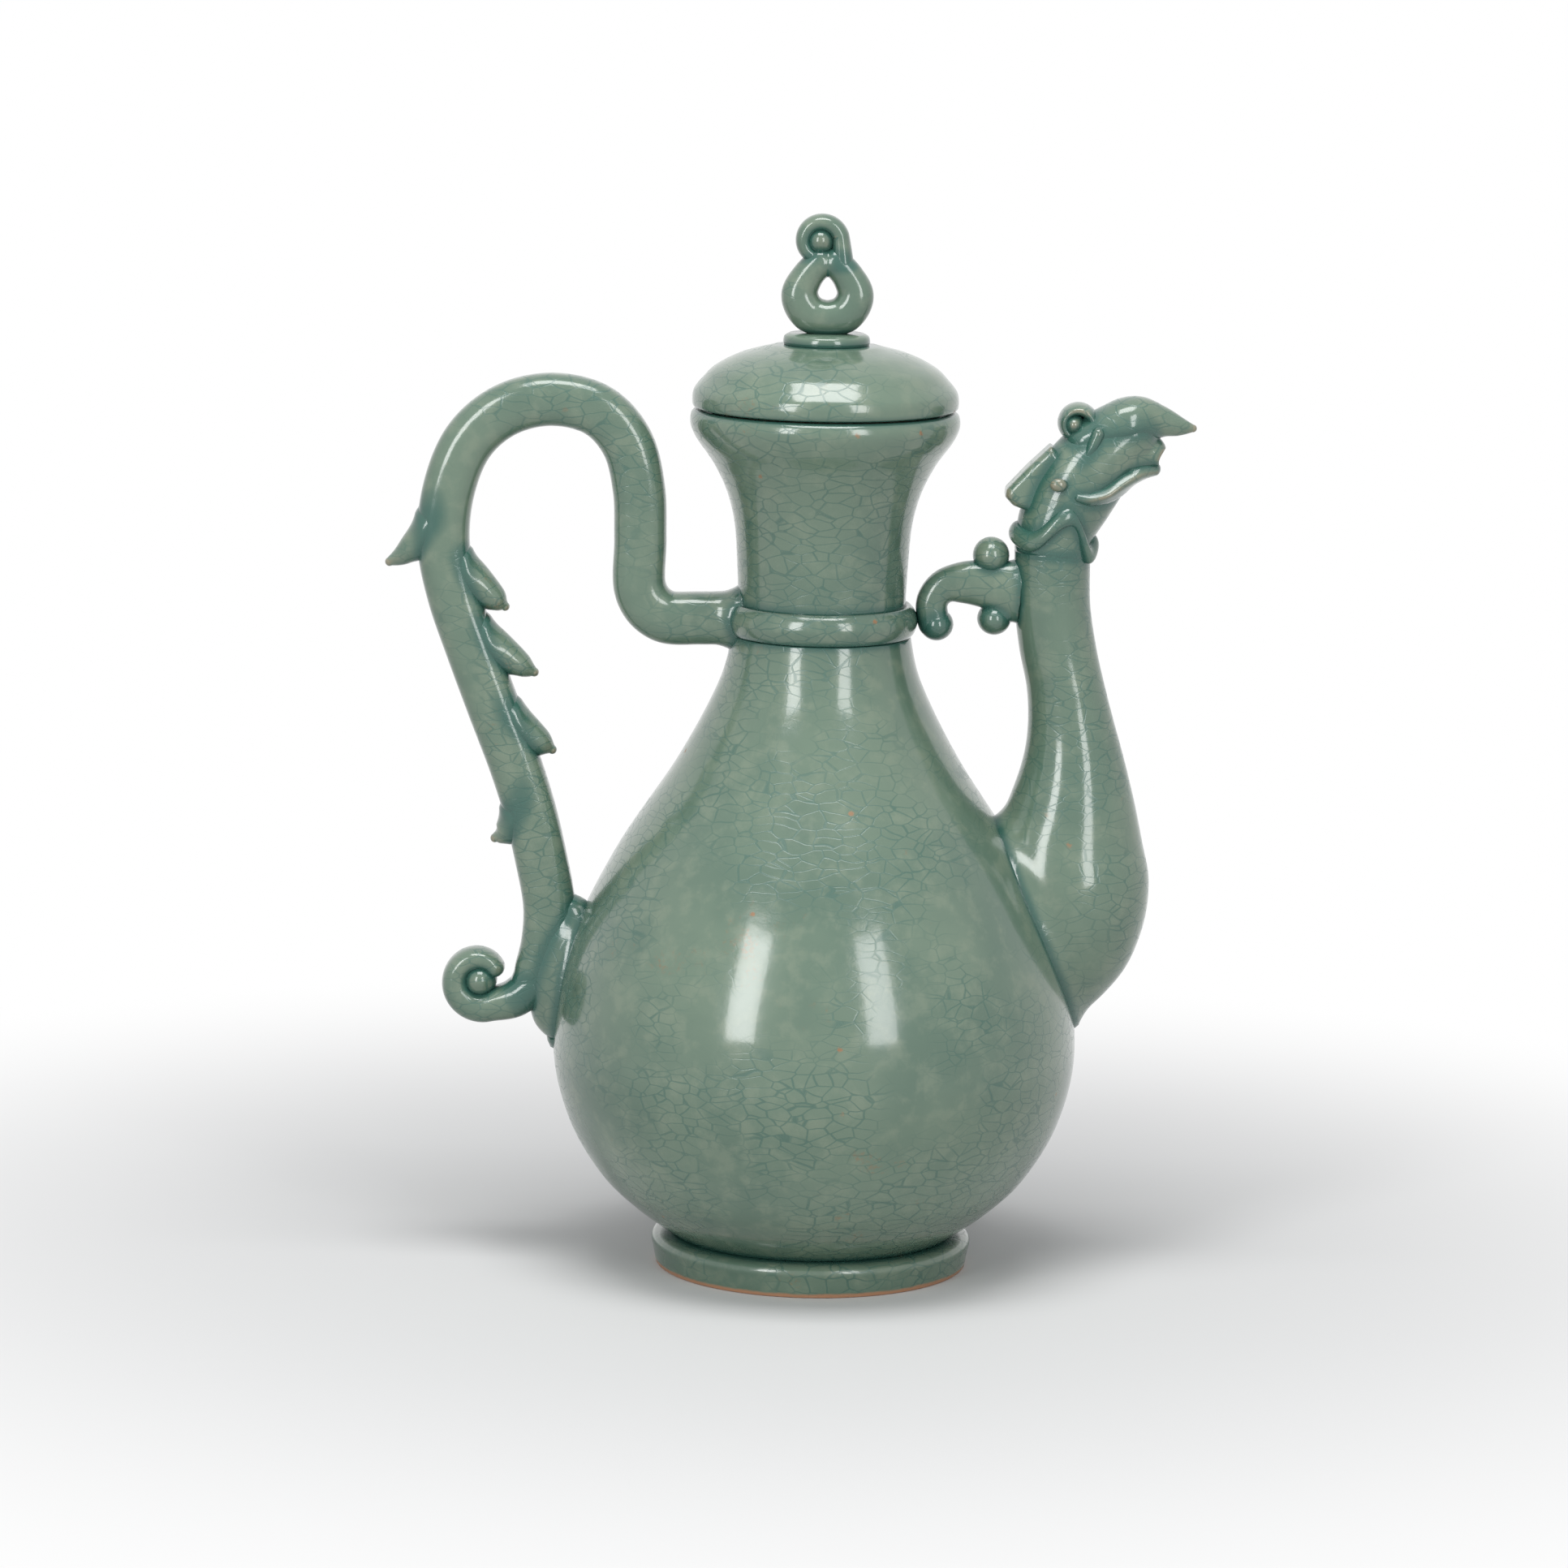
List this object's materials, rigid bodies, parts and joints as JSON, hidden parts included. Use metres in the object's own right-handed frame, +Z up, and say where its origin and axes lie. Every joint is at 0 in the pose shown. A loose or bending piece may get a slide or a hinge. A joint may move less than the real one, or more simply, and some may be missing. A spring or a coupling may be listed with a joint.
{
  "type": "lidded ewer",
  "caption": "Pear-shaped pouring ewer with a lift-off lid, a looped thorned handle and a phoenix-headed spout.",
  "frame": {"origin": "under the middle of the ewer's whole box, on the plane that the foot stands on", "axes": "+Z up along the pot axis, +X towards the spout, -X towards the handle, +Y away from the pictured side"},
  "size_m": [0.2272, 0.1482, 0.2999],
  "materials": {
    "celadon_glaze": "glossy grey-green celadon glaze, darker where it pools, finely crackled",
    "thin_glaze": "glossy celadon glaze run thin over an edge, pale brownish",
    "bare_rim": "unglazed stoneware, matt, orange-brown"
  },
  "bodies": {
    "ewer": {"foot_ring": "celadon_glaze", "belly": "celadon_glaze", "neck": "celadon_glaze", "collar_band": "thin_glaze", "handle": "celadon_glaze", "handle_barb_1": "thin_glaze", "handle_barb_2": "thin_glaze", "handle_barb_3": "thin_glaze", "handle_barb_4": "thin_glaze", "handle_barb_5": "thin_glaze", "handle_scroll": "celadon_glaze", "handle_scroll_bead": "thin_glaze", "handle_luting_pad": "celadon_glaze", "spout": "celadon_glaze", "phoenix_head": "celadon_glaze", "upper_beak": "thin_glaze", "lower_jaw": "thin_glaze", "crest_curl": "celadon_glaze", "crest_curl_bead": "thin_glaze", "nape_crest": "thin_glaze", "eye_bead_left": "thin_glaze", "eye_bead_right": "thin_glaze", "neck_ruff": "celadon_glaze", "bridge_strut": "celadon_glaze", "strut_top_bead": "thin_glaze", "strut_collar_foot": "celadon_glaze", "strut_spout_foot": "celadon_glaze"},
    "lid": {"lid_dome": "celadon_glaze", "lid_flange": "bare_rim", "finial_pad": "celadon_glaze", "finial_loop": "celadon_glaze", "finial_curl": "celadon_glaze", "finial_curl_bead": "thin_glaze"}
  },
  "joints": [
    {"name": "lid_lift", "type": "slide", "parent": "ewer", "child": "lid", "axis": [0, 0, 1], "range_m": [0, 0.06]}
  ]
}
